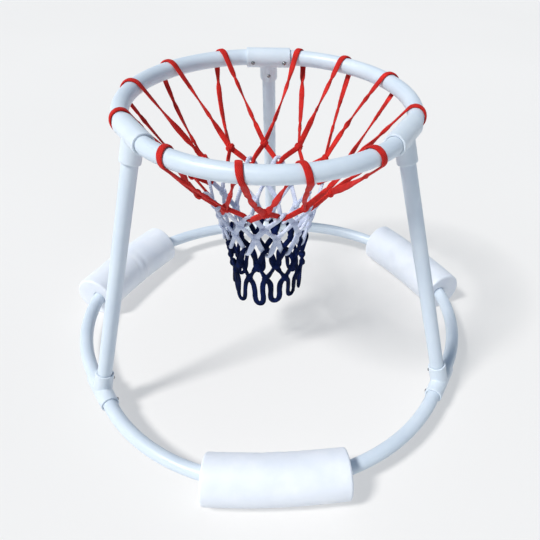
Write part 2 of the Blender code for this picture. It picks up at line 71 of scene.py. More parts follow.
# Rows of the net: drop from the row above and radius, as shares of NET_LENGTH and RIM_BEND
ROWS = [
    ("red_knots", 0.34, 0.559),
    ("red_white", 0.065, 0.461),
    ("white_upper", 0.08, 0.401),
    ("white_lower", 0.08, 0.354),
    ("white_blue", 0.085, 0.324),
    ("blue_upper", 0.09, 0.309),
    ("blue_lower", 0.09, 0.300),
    ("tails", 0.17, 0.2945),
]

# Places worked out from those sizes
HINGES = [joint["pos_m"] for joint in frame["joints"] if joint["type"] == "hinge"]
MIDDLE_Y = sum(place[1] for place in HINGES) / len(HINGES)
STRAIGHT = TEE_RUN + 2 * MOUTH
BASE_Z = FLOAT_R * cos(pi / SOLID_FLOAT_SIDES)
RIM_Z = BASE_Z + SPACING
X_AXIS, Y_AXIS, UP = Vector((1, 0, 0)), Vector((0, 1, 0)), Vector((0, 0, 1))
# The way a button points in its tee's or upright's own frame
INWARD = Vector((-1, 0, 0))

# How finely round things are made
PIPE_SIDES, TEE_SIDES, CORE_SIDES, PIN_SIDES = 48, 96, 64, 32
FOAM_SIDES, BRAID_SIDES = 96, 14


def ray(angle):
    """The level direction at an angle from +X."""
    return Vector((cos(angle), sin(angle), 0))


class Ring:
    """Three bent pipes joined by straight tee runs. A bend may have a tighter lead at each end."""

    def __init__(self, bend, lead_radius, lead, tube_radius, height):
        half_side = radians(180 / len(TEES))
        self.bend, self.lead_radius, self.lead = bend, lead_radius, lead
        self.main = half_side - lead
        self.tube_radius, self.height = tube_radius, height
        reach = bend - lead_radius
        self.offset = (STRAIGHT / 2 - reach * sin(lead)) / sin(half_side)
        self.tee = self.offset * cos(half_side) + reach * cos(lead) + lead_radius
        self.arcs = ((lead, lead_radius), (2 * self.main, bend), (lead, lead_radius))
        self.side = STRAIGHT + sum(turn * radius for turn, radius in self.arcs)


RIM = Ring(RIM_BEND, RIM_LEAD, LEAD_ANGLE, RIM_R, RIM_Z)
BASE = Ring(BASE_BEND, BASE_BEND, 0, BASE_R, BASE_Z)
RINGS = {"rim": RIM, "base": BASE}
LEAN = atan2(BASE.tee - RIM.tee, SPACING)
LEG = hypot(BASE.tee - RIM.tee, SPACING)


def ring_place(ring, along):
    """Point, tangent and outward direction on a ring, counter-clockwise from the back tee."""
    side = floor(along / ring.side)
    heading = radians(TEES["back"] + 360 / len(TEES) * side)
    rest = along - side * ring.side
    straight = min(rest, STRAIGHT / 2)
    point = ring.tee * ray(heading) + straight * ray(heading + pi / 2)
    rest -= straight
    for turn, radius in ring.arcs:
        turned = min(max(rest / radius, 0), turn)
        point += radius * (ray(heading + turned) - ray(heading))
        heading += turned
        rest -= turned * radius
    tangent = ray(heading + pi / 2)
    point += tangent * rest + Vector((0, MIDDLE_Y, ring.height))
    return point, tangent, ray(heading)


def level_matrix(azimuth, distance, height):
    """A frame at a distance from the rings' middle, with X away from it."""
    turn = Matrix.Rotation(radians(azimuth), 4, "Z")
    return Matrix.Translation((0, MIDDLE_Y, 0)) @ turn @ Matrix.Translation((distance, 0, height))


def leg_matrix(azimuth, distance, height):
    """A frame on an upright's axis: Y along the ring, Z up the leaning upright."""
    return level_matrix(azimuth, distance, height) @ Matrix.Rotation(-LEAN, 4, "Y")


# Materials

def fill_ramp(elements, stops):
    """Gives a ramp of two colours these places and colours."""
    while len(elements) < len(stops):
        elements.new(0.5)
    for element, (place, colour) in zip(elements, stops):
        element.position = place
        element.color = (*colour, 1.0)


class Nodes:
    """A short way to build a material's nodes, in rows to the left of the shader."""

    per_row, left, top, step_x, step_y = 8, -1600, 500, 180, 260

    def __init__(self, name):
        self.material = bpy.data.materials.new(name)
        self.material.use_nodes = True
        self.tree = self.material.node_tree
        self.shader = self.tree.nodes["Principled BSDF"]
        self.made = 0

    def add(self, kind, inputs=None, **settings):
        node = self.tree.nodes.new(kind)
        row, column = divmod(self.made, self.per_row)
        node.location = (self.left + self.step_x * column, self.top - self.step_y * row)
        self.made += 1
        for key, value in settings.items():
            setattr(node, key, value)
        for key, value in (inputs or {}).items():
            self.link(value, node.inputs[key])
        return node

    def link(self, value, socket):
        """Joins a node or socket to a socket, or sets a plain value on it."""
        if isinstance(value, bpy.types.NodeSocket):
            self.tree.links.new(value, socket)
        elif isinstance(value, bpy.types.Node):
            self.tree.links.new(value.outputs[0], socket)
        else:
            socket.default_value = value

    def set(self, **inputs):
        """Sets the shader's inputs by name, with _ for a space."""
        for key, value in inputs.items():
            self.link(value, self.shader.inputs[key.replace("_", " ")])

    def place(self):
        return self.add("ShaderNodeTexCoord").outputs["Object"]

    def math(self, operation, *values):
        node = self.add("ShaderNodeMath", operation=operation)
        for index, value in enumerate(values):
            self.link(value, node.inputs[index])
        return node

    def scaled(self, value, by, plus):
        return self.math("MULTIPLY_ADD", value, by, plus)

    def noise(self, vector, scale, detail=2.0, roughness=0.5):
        inputs = {"Vector": vector, "Scale": scale, "Detail": detail, "Roughness": roughness}
        return self.add("ShaderNodeTexNoise", inputs).outputs["Fac"]

    def ramp(self, value, stops):
        node = self.add("ShaderNodeValToRGB", {"Fac": value})
        fill_ramp(node.color_ramp.elements, stops)
        return node.outputs["Color"]

    def bump(self, height, strength, distance, normal=None):
        inputs = {"Height": height, "Strength": strength, "Distance": distance}
        if normal:
            inputs["Normal"] = normal
        return self.add("ShaderNodeBump", inputs).outputs["Normal"]


def pvc_material(name, light, shade, gloss):
    """Extruded or moulded white plastic: soft tint, smeared gloss, hairline scuffs, faint ripples."""
    n = Nodes(name)
    at = n.place()
    patches = n.noise(at, scale=16.0, detail=3.0)
    n.set(Base_Color=n.ramp(patches, [(0.3, shade), (0.7, light)]))
    smears = n.noise(at, scale=48.0, detail=4.0, roughness=0.6)
    drawn_out = n.add("ShaderNodeMapping", {"Vector": at, "Scale": (1.0, 1.0, 7.0)})
    scuffs = n.noise(drawn_out, scale=300.0, detail=3.0)
    rough = n.scaled(smears, by=0.16, plus=gloss - 0.08)
    n.set(Roughness=n.scaled(n.math("GREATER_THAN", scuffs, 0.66), by=0.10, plus=rough))
    fine = n.bump(n.noise(at, scale=900.0), strength=0.10, distance=0.00010)
    n.set(Normal=n.bump(n.noise(at, scale=90.0), strength=0.12, distance=0.00045, normal=fine))
    n.set(IOR=1.52, Specular_IOR_Level=0.38)
    n.set(Subsurface_Weight=0.06, Subsurface_Radius=(0.004, 0.004, 0.005), Subsurface_Scale=0.5)
    return n.material


def foam_material(name, tones):
    """Closed-cell foam with a satin skin: tiny cells, soft mottling."""
    n = Nodes(name)
    at = n.place()
    mottle = n.noise(at, scale=22.0, detail=4.0, roughness=0.55)
    n.set(Base_Color=n.ramp(mottle, tones))
    cells = n.add("ShaderNodeTexVoronoi", {"Vector": at, "Scale": 1100.0}).outputs["Distance"]
    fine = n.bump(cells, strength=0.22, distance=0.00022)
    soft = n.noise(at, scale=70.0, detail=3.0)
    n.set(Normal=n.bump(soft, strength=0.25, distance=0.0006, normal=fine))
    n.set(Roughness=n.scaled(mottle, by=0.2, plus=0.44))
    n.set(Subsurface_Weight=0.18, Subsurface_Radius=(0.010, 0.010, 0.011), Subsurface_Scale=0.6)
    n.set(Sheen_Weight=0.08)
    return n.material


def steel_material(name, colour, roughness):
    """Bright steel: fine turning marks and small dull spots."""
    n = Nodes(name)
    at = n.place()
    spots = n.noise(at, scale=700.0, detail=3.0)
    dull = tuple(0.78 * value for value in colour)
    n.set(Base_Color=n.ramp(spots, [(0.3, dull), (0.6, colour)]))
    n.set(Roughness=n.scaled(spots, by=0.25, plus=roughness - 0.1))
    n.set(Normal=n.bump(n.noise(at, scale=2600.0), strength=0.12, distance=0.00004))
    n.set(Metallic=1.0)
    return n.material


def cord_material(name, deep, mid, bright, sheen, gloss):
    """Flat braid: two sets of yarns that cross on the slant, with loose fibres.
    The weave attribute holds the place across and along each cord, in metres."""
    n = Nodes(name)
    place = n.add("ShaderNodeAttribute", attribute_name="weave").outputs["Vector"]
    split = n.add("ShaderNodeSeparateXYZ", {"Vector": place})
    across, along = split.outputs["X"], split.outputs["Y"]
    waves = []
    for sign in (1, -1):
        slant = n.scaled(across, by=sign * 2100.0, plus=n.math("MULTIPLY", along, 1500.0))
        waves.append(n.math("SINE", slant))
    height = n.scaled(n.math("MAXIMUM", *waves), by=0.5, plus=0.5)
    at = n.place()
    tint = n.noise(at, scale=45.0, detail=3.0, roughness=0.6)
    fibre = n.noise(at, scale=1900.0, detail=3.0, roughness=0.65)
    # Painted shade and highlight: the weave's height takes the colour towards the deep tone in the hollows
    # between yarns and towards the bright tone on the yarn tops. The tint noise gives random darker and
    # lighter stretches along the cords, which also stand in for their sunlit and shaded sides.
    shade = n.scaled(height, by=0.24, plus=n.math("MULTIPLY", tint, 0.50))
    shade = n.scaled(fibre, by=0.35, plus=shade)
    n.set(Base_Color=n.ramp(shade, [(0.37, deep), (0.61, mid), (0.82, bright)]))
    weave = n.bump(height, strength=0.55, distance=0.00045)
    n.set(Normal=n.bump(fibre, strength=0.5, distance=0.00035, normal=weave))
    n.set(Roughness=n.scaled(fibre, by=0.2, plus=0.68))
    n.set(Sheen_Weight=sheen, Sheen_Roughness=0.45, Specular_IOR_Level=gloss)
    return n.material


def floor_material(name, shade, light, glow):
    n = Nodes(name)
    patches = n.noise(n.place(), scale=0.6)
    n.set(Base_Color=n.ramp(patches, [(0.3, shade), (0.7, light)]))
    n.set(Roughness=0.9, Emission_Color=(1.0, 1.0, 1.0, 1.0), Emission_Strength=glow)
    return n.material


PVC = pvc_material("white_pvc_pipe", light=(0.65, 0.73, 0.81), shade=(0.59, 0.675, 0.77), gloss=0.38)
FITTING = pvc_material("white_pvc_fitting", light=(0.68, 0.75, 0.82), shade=(0.62, 0.70, 0.78), gloss=0.36)
FOAM_TONES = [(0.25, (0.75, 0.80, 0.88)), (0.6, (0.81, 0.85, 0.92)), (0.8, (0.86, 0.89, 0.93))]
FOAM = foam_material("foam_skin", FOAM_TONES)
STEEL = steel_material("button_bright_steel", colour=(0.36, 0.36, 0.37), roughness=0.20)
SPRING = steel_material("spring_steel_leaf", colour=(0.50, 0.50, 0.52), roughness=0.36)
# Deep colour (painted shade in the weave's hollows), middle colour, bright colour (painted highlight on the
# yarn tops), sheen and gloss
CORD_LOOKS_WITH_PAINTED_SHADE = {
    "red": ((0.19, 0.0038, 0.0032), (0.56, 0.016, 0.012), (0.78, 0.032, 0.022), 0.05, 0.20),
    "white": ((0.24, 0.30, 0.47), (0.57, 0.63, 0.80), (0.94, 0.96, 0.99), 0.12, 0.20),
    "blue": ((0.0004, 0.0012, 0.005), (0.0028, 0.008, 0.038), (0.013, 0.028, 0.17), 0.0, 0.05),
}
CORDS = {colour: cord_material(f"{colour}_braid", *looks) for colour, looks in CORD_LOOKS_WITH_PAINTED_SHADE.items()}


# Meshes

def linked(name, data):
    item = bpy.data.objects.new(name, data)
    bpy.context.scene.collection.objects.link(item)
    return item


def add_piece(name, mesh, material, matrix=None, sharp=40):
    """A shown object from a mesh, smooth but for edges sharper than this many degrees."""
    if matrix:
        mesh.transform(matrix)
    mesh.shade_smooth()
    mesh.set_sharp_from_angle(angle=radians(sharp))
    mesh.materials.clear()
    mesh.materials.append(material)
    return linked(name, mesh)


def turns(count):
    """Angles at even steps round a full turn."""
    return [2 * pi * index / count for index in range(count)]


def ring_points(point, outward, up, radius, sides):
    return [point + radius * (cos(angle) * outward + sin(angle) * up) for angle in turns(sides)]


def tangent_at(points, index, closed=False):
    """The direction of a line of points at one of them."""
    before, after = index - 1, index + 1
    if closed:
        after %= len(points)
    else:
        before, after = max(before, 0), min(after, len(points) - 1)
    return (points[after] - points[before]).normalized()


def swept(rings, closed):
    """Vertices and faces of rings of points joined in turn. closed joins the last to the first."""
    sides = len(rings[0])
    verts = [point for ring in rings for point in ring]
    faces = []
    spans = len(rings) if closed else len(rings) - 1
    for index in range(spans):
        first, second = index * sides, ((index + 1) % len(rings)) * sides
        for side in range(sides):
            other = (side + 1) % sides
            faces.append((first + side, first + other, second + other, second + side))
    if not closed:
        faces.append(tuple(reversed(range(sides))))
        faces.append(tuple(range(len(verts) - sides, len(verts))))
    return verts, faces


def outward_mesh(name, verts, faces):
    """A mesh whose faces all look outward."""
    bm = bmesh.new()
    made = [bm.verts.new(point) for point in verts]
    for face in faces:
        bm.faces.new([made[index] for index in face])
    bmesh.ops.recalc_face_normals(bm, faces=bm.faces)
    mesh = bpy.data.meshes.new(name)
    bm.to_mesh(mesh)
    bm.free()
    return mesh


LIP = 0.0006
# Shares of the lip: in from a pipe's end, and under its outside
LIP_STEPS = [(0.0, 1.0), (0.3, 0.3), (1.0, 0.0)]


def hollow_pipe(name, frames, outer, inner):
    """A pipe wall along frames of (point, outward, up), with rounded ends."""

    def end_rings(end, following, steps):
        point, outward, up = end
        way = (following[0] - point).normalized()
        return [
            ring_points(point + way * (LIP * inset), outward, up, outer - LIP * cut, PIPE_SIDES)
            for inset, cut in steps
        ]

    rings = end_rings(frames[0], frames[1], LIP_STEPS)
    rings += [ring_points(*each, outer, PIPE_SIDES) for each in frames[1:-1]]
    rings += end_rings(frames[-1], frames[-2], LIP_STEPS[::-1])
    rings += [ring_points(*each, inner, PIPE_SIDES) for each in reversed(frames)]
    return outward_mesh(name, *swept(rings, True))


def lathe(name, profile, sides, matrix=None):
    """A closed solid of revolution about Z from (radius, height) pairs."""
    rings = [ring_points(UP * z, X_AXIS, Y_AXIS, r, sides) for r, z in profile]
    mesh = outward_mesh(name, *swept(rings, False))
    if matrix:
        mesh.transform(matrix)
    return mesh


def applied(item, name):
    """The mesh that an object's modifiers give."""
    graph = bpy.context.evaluated_depsgraph_get()
    result = bpy.data.meshes.new_from_object(item.evaluated_get(graph))
    result.name = name
    return result


def carved(mesh, cutters, name):
    """The mesh with closed cutters taken from it."""
    items = [linked("carving", each) for each in (mesh, *cutters)]
    for cutter in items[1:]:
        boolean = items[0].modifiers.new("cut", "BOOLEAN")
        boolean.operation = "DIFFERENCE"
        boolean.solver = "EXACT"
        boolean.object = cutter
    result = applied(items[0], name)
    for item in items:
        bpy.data.objects.remove(item, do_unlink=True)
    return result


def hole(point, way, reach):
    """A cutter for a button's hole, from a point along a direction."""
    turn = way.to_track_quat("Z", "Y").to_matrix().to_4x4()
    radius = BUTTON_R + GAP
    return lathe("hole", [(radius, 0), (radius, reach)], PIN_SIDES, Matrix.Translation(point) @ turn)


BEND_STEPS, LEAD_STEPS = 44, 5
STUB_SHARES = (0.25, 0.6, 0.98, 1.0)


def bent_pipe(ring, name):
    """A bent pipe about its main bend's centre, centred on +X, with its two button holes."""
    tail = STRAIGHT / 2 - RUN_STOP - GAP
    steps = LEAD_STEPS if ring.lead else 0
    frames = []
    for index in range(BEND_STEPS + 1):
        outward = ray(ring.main * (2 * index / BEND_STEPS - 1))
        frames.append((ring.bend * outward, outward, UP))
    cutters = []
    for sign in (-1, 1):
        centre = (ring.bend - ring.lead_radius) * ray(sign * ring.main)
        extra = []
        for index in range(1, steps + 1):
            outward = ray(sign * (ring.main + ring.lead * index / steps))
            extra.append((centre + ring.lead_radius * outward, outward, UP))
        outward = ray(sign * (ring.main + ring.lead))
        end = centre + ring.lead_radius * outward
        along = Vector((-outward.y, outward.x, 0)) * sign
        extra += [(end + along * tail * share, outward, UP) for share in STUB_SHARES]
        frames = extra[::-1] + frames if sign < 0 else frames + extra
        inward = -outward * cos(LEAN) - UP * sin(LEAN)
        cutters.append(hole(end + along * (STRAIGHT / 2 - RUN_BUTTON), inward, 2 * ring.tube_radius))
    mesh = hollow_pipe(name, frames, ring.tube_radius, ring.tube_radius - WALL)
    return carved(mesh, cutters, name)


POST_STEPS, POST_END = 12, 0.002


def straight_pipe(name):
    """An upright's pipe about its middle, along Z, with its two button holes."""
    top = LEG / 2 - RIM_R - STOP_STEP - GAP
    foot = -(LEG / 2 - BASE_R - STOP_STEP - GAP)
    heights = [foot, foot + POST_END]
    heights += [foot + (top - foot) * step / POST_STEPS for step in range(1, POST_STEPS)]
    heights += [top - POST_END, top]
    frames = [(UP * z, X_AXIS, Y_AXIS) for z in heights]
    mesh = hollow_pipe(name, frames, POST_R, POST_R - WALL)
    spot = UP * (LEG / 2 - POST_BUTTON)
    return carved(mesh, [hole(place, INWARD, 2 * POST_R) for place in (-spot, spot)], name)


TEE_VOXEL, TEE_SMOOTH, TEE_SMOOTH_STEPS = 0.0010, 0.5, 9
FLARE, FLARE_DEPTH = 0.0004, 0.0012


def blended(name, parts):
    """Overlapping closed meshes as one solid with softened inner corners."""
    bm = bmesh.new()
    for part in parts:
        bm.from_mesh(part)
    bm.to_mesh(parts[0])
    bm.free()
    item = linked(name, parts[0])
    remesh = item.modifiers.new("blend", "REMESH")
    remesh.mode = "VOXEL"
    remesh.voxel_size = TEE_VOXEL
    smooth = item.modifiers.new("soften", "SMOOTH")
    smooth.factor = TEE_SMOOTH
    smooth.iterations = TEE_SMOOTH_STEPS
    solid = applied(item, name)
    bpy.data.objects.remove(item, do_unlink=True)
    return solid


def socket(bore, seat, mouth):
    """Profile of a socket from its stop to its flared mouth."""
    profile = [(bore - WALL, seat), (bore, seat), (bore, mouth - FLARE_DEPTH)]
    return profile + [(bore + 2 * FLARE, mouth + FLARE_DEPTH)]


def tee_mesh(name, run_radius, branch_sign):
    """A moulded tee about its run's middle: run along Y, branch along Z, sockets with stops."""
    run_bore, post_bore = run_radius + GAP, POST_R + GAP
    run_outer, post_outer = run_bore + TEE_WALL, post_bore + TEE_WALL
    half = TEE_RUN / 2
    lay = Matrix.Rotation(radians(-90), 4, "X")
    flip = Matrix.Rotation(pi if branch_sign < 0 else 0, 4, "X")
    body = lathe("run", [(run_outer, -half), (run_outer, half)], TEE_SIDES, lay)
    branch = lathe("branch", [(post_outer, 0), (post_outer, TEE_REACH)], TEE_SIDES, flip)
    run = socket(run_bore, RUN_STOP, half)
    run = [(radius, -place) for radius, place in reversed(run)] + run
    post = [(post_bore - WALL, 0)] + socket(post_bore, run_radius + STOP_STEP, TEE_REACH)
    cutters = [lathe("run", run, CORE_SIDES, lay), lathe("post", post, CORE_SIDES, flip)]
    for place in ((0, -RUN_BUTTON, 0), (0, RUN_BUTTON, 0), (0, 0, branch_sign * POST_BUTTON)):
        cutters.append(hole(Vector(place), INWARD, 2 * run_outer))
    return carved(blended(name, [body, branch]), cutters, name)


def bore_height(tube_radius, half_width):
    """Height above a tube's axis where something this wide meets the solid's faceted bore."""
    inside = (tube_radius - WALL) * cos(pi / SOLID_TUBE_SIDES)
    return sqrt(inside ** 2 - half_width ** 2) - GAP


# A flange's edge, as shares of its radius and its thickness under the shoulder
FLANGE_EDGE = [(0.9, 1.0), (1.0, 0.8), (1.0, 0.1), (0.96, 0.0)]
TIP_ROUND, TIP_FLAT, TIP_STEPS, TIP_FULLNESS = 0.0024, 0.0004, 9, 0.7


def button_mesh(name, tube_radius):
    """A snap button along Z from its tube's axis: flange, shank and a rounded tip."""
    shoulder = bore_height(tube_radius, FLANGE_R)
    tip = tube_radius + GAP + TEE_WALL + BUTTON_PROUD
    profile = [(FLANGE_R * wide, shoulder - deep * FLANGE_T) for wide, deep in FLANGE_EDGE]
    profile.append((BUTTON_R, shoulder))
    for step in range(TIP_STEPS):
        angle = radians(90 * step / TIP_STEPS)
        radius = BUTTON_R * cos(angle) ** TIP_FULLNESS
        profile.append((radius, tip - TIP_ROUND + TIP_ROUND * sin(angle)))
    profile.append((TIP_FLAT, tip))
    return lathe(name, profile, PIN_SIDES)


FOLD_CUT, FOLD_STEPS = 0.0019, 6
LEAF_EDGE = 0.00018
PAD_MIDDLE, FOOT_MIDDLE = 0.5, 0.6


def leaf_heights(tube_radius):
    """Middle heights of a spring's upper and lower leaves, above its tube's axis."""
    upper = bore_height(tube_radius, FLANGE_R) - FLANGE_T - GAP - LEAF_T / 2
    lower = LEAF_T / 2 - bore_height(tube_radius, LEAF_WIDTH / 2)
    return upper, lower


def leaf_mesh(name, tube_radius):
    """A folded leaf spring: X runs deeper into its tube, Z to the pin."""
    upper, lower = leaf_heights(tube_radius)
    corners = [(-LEAF_PAD / 2, upper), (LEAF_PAD / 2, upper), (LEAF_REACH, LEAF_FOLD)]
    corners += [(LEAF_REACH, -LEAF_FOLD), (LEAF_PAD / 2, lower)]
    corners = [Vector((x, 0, z)) for x, z in corners]
    line = [corners[0], corners[0].lerp(corners[1], PAD_MIDDLE)]
    for before, corner, after in zip(corners, corners[1:], corners[2:]):
        first = corner + (before - corner).normalized() * FOLD_CUT
        last = corner + (after - corner).normalized() * FOLD_CUT
        for step in range(FOLD_STEPS + 1):
            share = step / FOLD_STEPS
            line.append(first.lerp(corner, share).lerp(corner.lerp(last, share), share))
    line += [corners[-2].lerp(corners[-1], FOOT_MIDDLE), corners[-1]]
    half, thick = LEAF_WIDTH / 2, LEAF_T / 2
    section = []
    for a, b in ((1, 1), (-1, 1), (-1, -1), (1, -1)):
        pair = [(a * half, b * (thick - LEAF_EDGE)), (a * (half - LEAF_EDGE), b * thick)]
        section += pair if a * b > 0 else pair[::-1]
    rings = []
    for index, point in enumerate(line):
        normal = tangent_at(line, index).cross(Y_AXIS)
        rings.append([point + Y_AXIS * across + normal * out for across, out in section])
    return outward_mesh(name, *swept(rings, False))


# The foam sleeves

# Creases: how many, and spans of their place, depth, width and slant
CREASES = 5, (-0.034, 0.040), (0.0006, 0.0014), (0.0030, 0.0048), (-0.014, 0.014)
# Dents: how many, and spans of their place, direction and depth
DENTS = 9, (-0.10, 0.10), (0, 2 * pi), (0.0004, 0.0009)
DENT_LONG, DENT_ROUND = 0.014, 0.35
RIPPLE, RIPPLE_PACE, RIPPLE_ROUND = 0.00035, 22, 1.4
INSIDE_POWER = 1.5
BULGE, BULGE_SHIFT, BULGE_WIDTH = 0.35, 2.2, 1.6
# The rounded edge at an end: its radius, and degrees between rings
FOAM_EDGE, FOAM_EDGE_STEP = 0.0046, 10
FOAM_STEPS, BORE_STEPS, BORE_INSET = 64, 24, 0.006
FLOOR_CLEAR = 0.0002
# A dished end face: how far in from the end and outside the bore
DISH = [(0.0034, 0), (0.0022, 0.0005), (0.0017, 0.002), (0.0014, 0.006), (0.0008, 0.012), (0.0003, 0.019)]


def draws(rng, count, *spans):
    """Rows of even draws, one from each span."""
    return [[rng.uniform(*span) for span in spans] for _ in range(count)]


def float_surface(rng, seed):
    """How far the foam's skin lies under its radius: creases inside the bend, dents and waves."""
    creases, dents = draws(rng, *CREASES), draws(rng, *DENTS)

    def depth(along, turn):
        inside = max(0.0, -cos(turn)) ** INSIDE_POWER
        round_x, round_y = cos(turn) * RIPPLE_ROUND, sin(turn) * RIPPLE_ROUND
        ripple = noise.noise(Vector((along * RIPPLE_PACE, round_x, round_y + seed)))
        total = RIPPLE - RIPPLE * ripple
        for place, deep, wide, slant in creases:
            shift = along - place - slant * sin(turn)
            beside = (shift - BULGE_SHIFT * wide) / (BULGE_WIDTH * wide)
            total += deep * inside * exp(-((shift / wide) ** 2))
            total -= BULGE * deep * inside * exp(-(beside ** 2))
        for place, where, deep in dents:
            gap = abs((turn - where + pi) % (2 * pi) - pi)
            total += deep * exp(-(((along - place) / DENT_LONG) ** 2) - (gap / DENT_ROUND) ** 2)
        return total

    return depth


def float_mesh(side, seed):
    """A foam sleeve straighter than its pipe, with a bore that follows it and dished ends."""
    spread = FLOAT_LENGTH / 2 / FLOAT_BEND
    sag = BASE_BEND * (1 - cos(FLOAT_LENGTH / 2 / BASE_BEND))
    sag -= FLOAT_BEND * (1 - cos(spread))
    centre = Vector((BASE_BEND - FLOAT_INSET_SHARE * sag - FLOAT_BEND, 0, 0))
    turn = spread + asin(-centre.x * sin(spread) / BASE_BEND)
    bore = BASE_R + FLOAT_CLEAR
    depth = float_surface(random.Random(seed), seed)

    def skin(angle, radius):
        ring = []
        for around in turns(FOAM_SIDES):
            r = radius - depth(angle * FLOAT_BEND, around)
            outward = cos(around) * ray(angle) + sin(around) * UP
            ring.append(centre + FLOAT_BEND * ray(angle) + r * outward)
        return ring

    def face(sign, inset, radius):
        share = (FLOAT_R - radius) / (FLOAT_R - bore)
        foam_middle = centre + FLOAT_BEND * ray(sign * (spread - inset / FLOAT_BEND))
        pipe_middle = BASE_BEND * ray(sign * (turn - inset / BASE_BEND))
        middle = foam_middle.lerp(pipe_middle, share)
        return ring_points(middle, ray(sign * spread), UP, radius, FOAM_SIDES)

    def end(sign):
        rings = [face(sign, inset, bore + more) for inset, more in DISH]
        for degrees in range(90, 0, -FOAM_EDGE_STEP):
            angle = radians(degrees)
            inset, cut = FOAM_EDGE * (1 - sin(angle)), FOAM_EDGE * (1 - cos(angle))
            rings.append(skin(sign * (spread - inset / FLOAT_BEND), FLOAT_R - cut))
        return rings

    inner = spread - FOAM_EDGE / FLOAT_BEND
    rings = end(-1)
    rings += [skin(inner * (2 * step / FOAM_STEPS - 1), FLOAT_R) for step in range(FOAM_STEPS + 1)]
    rings += end(1)[::-1]
    reach = turn - BORE_INSET / BASE_BEND
    for step in range(BORE_STEPS + 1):
        angle = reach * (1 - 2 * step / BORE_STEPS)
        rings.append(ring_points(BASE_BEND * ray(angle), ray(angle), UP, bore, FOAM_SIDES))
    mesh = outward_mesh(f"foam_{side}", *swept(rings, True))
    for vert in mesh.vertices:
        vert.co.z = max(vert.co.z, FLOOR_CLEAR - BASE_Z)
    return mesh


# The net

SWING = -0.011
# How far each red loop is slid along the rim, and the first wound the other way round
LOOP_SLIDES = [0.031, 0.018, 0.004, 0.005, 0.033, 0.022, -0.018, -0.029, 0.018, 0.046, 0.034, 0.002]
FIRST_TURNED = 8
# How the lower rows hang: share of their depth, and how far front and back sink
HANG = {
    "white_upper": (0.96, 0.001, 0.004),
    "white_lower": (0.91, 0.003, 0.010),
    "white_blue": (0.87, 0.006, 0.016),
    "blue_upper": (0.87, 0.006, 0.015),
    "blue_lower": (0.88, 0.005, 0.012),
    "tails": (0.90, 0.002, 0.004),
}
JITTER_SEED, RED_JITTER, LOWER_JITTER = 7, 0.0014, 0.0030
CORD_SPACING = 0.0022


def net_rows():
    """Radius and height of each row."""
    drop, rows = 0.0, {}
    for name, step, radius in ROWS:
        drop += NET_LENGTH * step
        rows[name] = (RIM_BEND * radius, RIM_Z - drop)
    return rows


def net_jitter(rows):
    """A small shift for every place on the rows."""
    rng = random.Random(JITTER_SEED)
    shifts = {}
    for row in rows:
        amount = RED_JITTER if row.startswith("red") else LOWER_JITTER
        for number in range(2 * LOOPS):
            shifts[row, number] = Vector([rng.uniform(-1, 1) for _ in range(3)]) * amount
    return shifts


NET = net_rows()
JITTER = net_jitter(NET)


def net_point(row, half_turns):
    """A place on a row of the net, which hangs a little to one side and flatter lower down."""
    radius, height = NET[row]
    deep, front, back = HANG.get(row, (1.0, 0.0, 0.0))
    place = ray(pi * half_turns / LOOPS + pi / 2)
    sink = front + (back - front) * (1 + place.y) / 2
    point = Vector((SWING + radius * place.x, MIDDLE_Y + radius * deep * place.y, height - sink))
    return point + JITTER[row, half_turns % (2 * LOOPS)]


def away(point):
    """The level direction from the net's middle line to a point."""
    return Vector((point.x - SWING, point.y - MIDDLE_Y, 0)).normalized()


def distances(points):
    """How far along a line of points each one lies."""
    result = [0.0]
    for before, after in zip(points, points[1:]):
        result.append(result[-1] + (after - before).length)
    return result


def smooth_curve(control, normals):
    """A smooth curve through the control points, with normals carried along it."""
    points, spread = [], []
    count = len(control)
    for index in range(count - 1):
        p1, p2 = control[index], control[index + 1]
        p0 = control[index - 1] if index else p1 * 2 - p2
        p3 = control[index + 2] if index + 2 < count else p2 * 2 - p1
        d1, d2, d3 = (max((b - a).length, 1e-6) ** 0.5 for a, b in ((p0, p1), (p1, p2), (p2, p3)))
        m1 = d2 * ((p1 - p0) / d1 - (p2 - p0) / (d1 + d2) + (p2 - p1) / d2)
        m2 = d2 * ((p2 - p1) / d2 - (p3 - p1) / (d2 + d3) + (p3 - p2) / d3)
        steps = max(2, round((p2 - p1).length / CORD_SPACING))
        for step in range(steps):
            t = step / steps
            a = 2 * t ** 3 - 3 * t ** 2 + 1
            b = t ** 3 - 2 * t ** 2 + t
            c = -2 * t ** 3 + 3 * t ** 2
            d = t ** 3 - t ** 2
            points.append(a * p1 + b * m1 + c * p2 + d * m2)
            spread.append(normals[index].lerp(normals[index + 1], t).normalized())
    points.append(control[-1])
    spread.append(normals[-1])
    return points, spread


def squarer(value, power):
    """A cosine or sine pushed outward, to make a round section squarer."""
    return copysign(abs(value) ** power, value)


SECTION = [(squarer(cos(angle), 0.8), squarer(sin(angle), 0.85)) for angle in turns(BRAID_SIDES)]
# At a twist or gathered place: its reach, and how much narrower and thicker the cord gets
PINCH_REACH, PINCH_NARROW, PINCH_THICK = 0.42, 0.40, 0.55
# Unevenness along a cord, and a slow turning to and fro
WAVE_PACE, WAVE_WIDTH, WAVE_THICK = 60, 0.12, 0.08
SLOW_PACE, SLOW_ROW, SLOW_TURN = 22, 3.0, 0.16
CORD_END_SHARE = 0.6
# A twist: where in its stretch, and its length
TWIST_PLACE, TWIST_LENGTH = (0.3, 0.7), (0.018, 0.028)
# A knot's core and the bands wound round it, as shares of its size
CORE_TALL, CORE_WIDE, CORE_DEEP = 0.42, 0.40, 0.36
CORE_STEPS, CORE_RING = 9, 16
BAND_WIDE, BAND_DEEP, BAND_STEPS = 0.40, 0.42, 22
BAND_TILTS, BAND_LOOSE, BAND_WAVE = ((0.62, 1.0), (-0.62, 1.1)), 0.14, 0.0012


